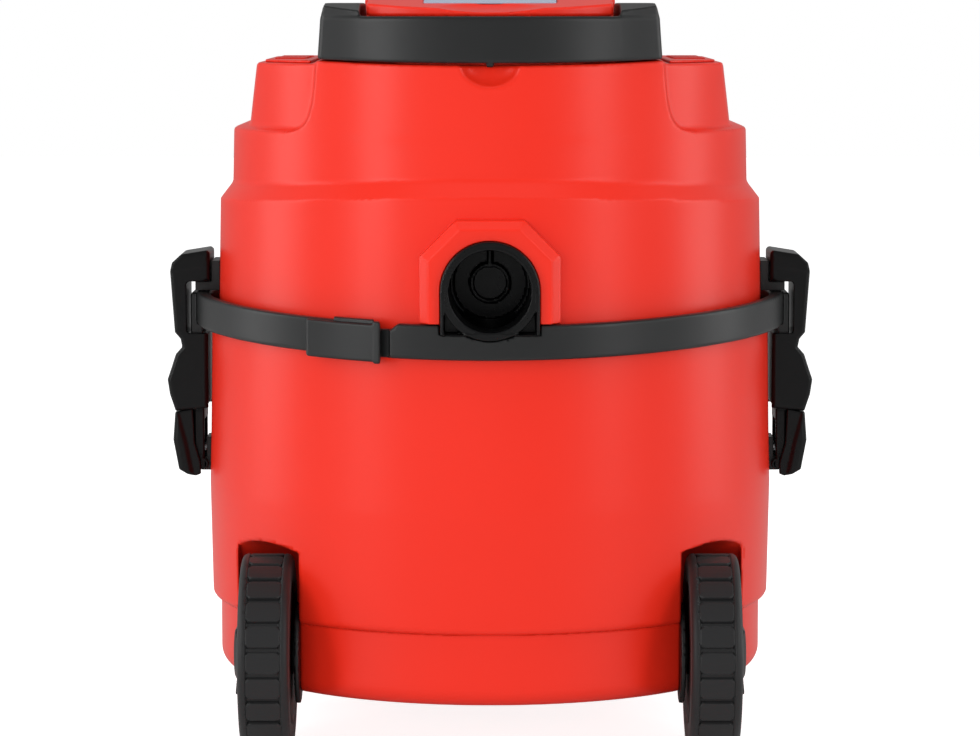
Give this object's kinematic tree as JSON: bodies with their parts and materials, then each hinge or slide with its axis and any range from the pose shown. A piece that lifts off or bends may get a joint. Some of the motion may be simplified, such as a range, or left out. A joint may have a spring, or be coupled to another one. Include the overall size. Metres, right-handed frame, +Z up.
{
  "type": "shop vacuum",
  "caption": "Red wheeled shop vacuum with a black seam band, side clips, treaded rear wheels, hose inlet and folded carrying bail.",
  "frame": {"origin": "on the floor under the drum's axis", "axes": "-Y towards the hose inlet (the back), +Y the front, +Z up, -X the left side seen from the inlet"},
  "size_m": [0.4374, 0.399, 0.5],
  "materials": {
    "red_plastic": "moulded, semi-gloss red",
    "black_plastic": "fine-grained black",
    "dark_plastic": "smooth dark grey",
    "tyre_rubber": "ribbed tread, matt",
    "seal_rubber": "soft, matt",
    "foam": "open-celled foam",
    "steel": "zinc-plated",
    "alloy": "pressed and cast",
    "filter_paper": "pleated",
    "float_plastic": "hollow, off-white",
    "panel_grey": "bare grey-blue plate"
  },
  "bodies": {
    "drum": {"tank": "red_plastic", "tank_seal": "seal_rubber", "seam_band": "black_plastic", "band_buckle": "black_plastic", "rear_axle_left": "steel", "rear_axle_right": "steel", "base_pan": "black_plastic", "motor_hood": "red_plastic", "exhaust_cover_left": "red_plastic", "exhaust_cover_right": "red_plastic", "exhaust_foam": "foam", "hood_screws": "steel", "lid_hinge_pins": "steel", "handle_pins": "steel", "hose_inlet": "black_plastic", "motor_seal": "seal_rubber", "fan_housing": "alloy", "motor_casing": "steel", "motor_clamp": "black_plastic", "filter_cartridge": "filter_paper", "filter_retainer": "black_plastic", "float_cage": "black_plastic", "switch_module": "dark_plastic", "cable_gland": "black_plastic", "catch_left": "black_plastic", "catch_right": "black_plastic", "clip_bracket_left": "black_plastic", "clip_bracket_right": "black_plastic", "clip_screws": "steel", "claw_pins": "steel"},
    "wheel_left": {"wheel_tyre_left": "tyre_rubber", "wheel_hub_left": "black_plastic", "hub_cap_left": "black_plastic"},
    "castor_left": {"castor_fork_left": "black_plastic", "castor_axle_left": "steel"},
    "castor_roller_left": {"castor_wheel_left": "dark_plastic"},
    "claw_left": {"clip_claw_left": "black_plastic", "lever_pin_left": "steel"},
    "lever_left": {"clip_lever_left": "black_plastic"},
    "wheel_right": {"wheel_tyre_right": "tyre_rubber", "wheel_hub_right": "black_plastic", "hub_cap_right": "black_plastic"},
    "castor_right": {"castor_fork_right": "black_plastic", "castor_axle_right": "steel"},
    "castor_roller_right": {"castor_wheel_right": "dark_plastic"},
    "claw_right": {"clip_claw_right": "black_plastic", "lever_pin_right": "steel"},
    "lever_right": {"clip_lever_right": "black_plastic"},
    "lid": {"lid": "red_plastic", "label_panel": "panel_grey"},
    "handle": {"carry_handle": "black_plastic"},
    "knob": {"switch_knob": "black_plastic"},
    "float": {"float_ball": "float_plastic"},
    "rotor": {"impeller": "alloy", "motor_shaft": "steel"}
  },
  "joints": [
    {"name": "wheel_spin_left", "type": "hinge", "parent": "drum", "child": "wheel_left", "pos_m": [-0.1455, -0.12, 0.065], "axis": [1, 0, 0], "continuous": true},
    {"name": "castor_swivel_left", "type": "hinge", "parent": "drum", "child": "castor_left", "pos_m": [-0.08495, 0.09602, 0.05], "axis": [0, 0, 1], "continuous": true},
    {"name": "castor_roll_left", "type": "hinge", "parent": "castor_left", "child": "castor_roller_left", "pos_m": [-0.08495, 0.08002, 0.022], "axis": [1, 0, 0], "continuous": true},
    {"name": "clip_open_left", "type": "hinge", "parent": "drum", "child": "claw_left", "pos_m": [-0.1956, 0, 0.1765], "axis": [0, -1, 0], "range_deg": [0, 55]},
    {"name": "lever_lift_left", "type": "hinge", "parent": "claw_left", "child": "lever_left", "pos_m": [-0.2105, 0, 0.209], "axis": [0, 1, 0], "range_deg": [0, 50]},
    {"name": "wheel_spin_right", "type": "hinge", "parent": "drum", "child": "wheel_right", "pos_m": [0.1455, -0.12, 0.065], "axis": [1, 0, 0], "continuous": true},
    {"name": "castor_swivel_right", "type": "hinge", "parent": "drum", "child": "castor_right", "pos_m": [0.08495, 0.09602, 0.05], "axis": [0, 0, 1], "continuous": true},
    {"name": "castor_roll_right", "type": "hinge", "parent": "castor_right", "child": "castor_roller_right", "pos_m": [0.08495, 0.08002, 0.022], "axis": [1, 0, 0], "continuous": true},
    {"name": "clip_open_right", "type": "hinge", "parent": "drum", "child": "claw_right", "pos_m": [0.1956, 0, 0.1765], "axis": [0, 1, 0], "range_deg": [0, 55]},
    {"name": "lever_lift_right", "type": "hinge", "parent": "claw_right", "child": "lever_right", "pos_m": [0.2105, 0, 0.209], "axis": [0, -1, 0], "range_deg": [0, 50]},
    {"name": "handle_swing", "type": "hinge", "parent": "drum", "child": "handle", "pos_m": [0, 0.02, 0.4655], "axis": [-1, 0, 0], "range_deg": [0, 95]},
    {"name": "lid_open", "type": "hinge", "parent": "drum", "child": "lid", "pos_m": [0, 0.044, 0.488], "axis": [-1, 0, 0], "range_deg": [0, 100]},
    {"name": "knob_turn", "type": "hinge", "parent": "drum", "child": "knob", "pos_m": [0, 0.175, 0.424], "axis": [0, 1, 0], "range_deg": [0, 90]},
    {"name": "float_lift", "type": "slide", "parent": "drum", "child": "float", "axis": [0, 0, 1], "range_m": [0, 0.026]},
    {"name": "rotor_spin", "type": "hinge", "parent": "drum", "child": "rotor", "pos_m": [0, 0, 0.3265], "axis": [0, 0, 1], "continuous": true}
  ]
}
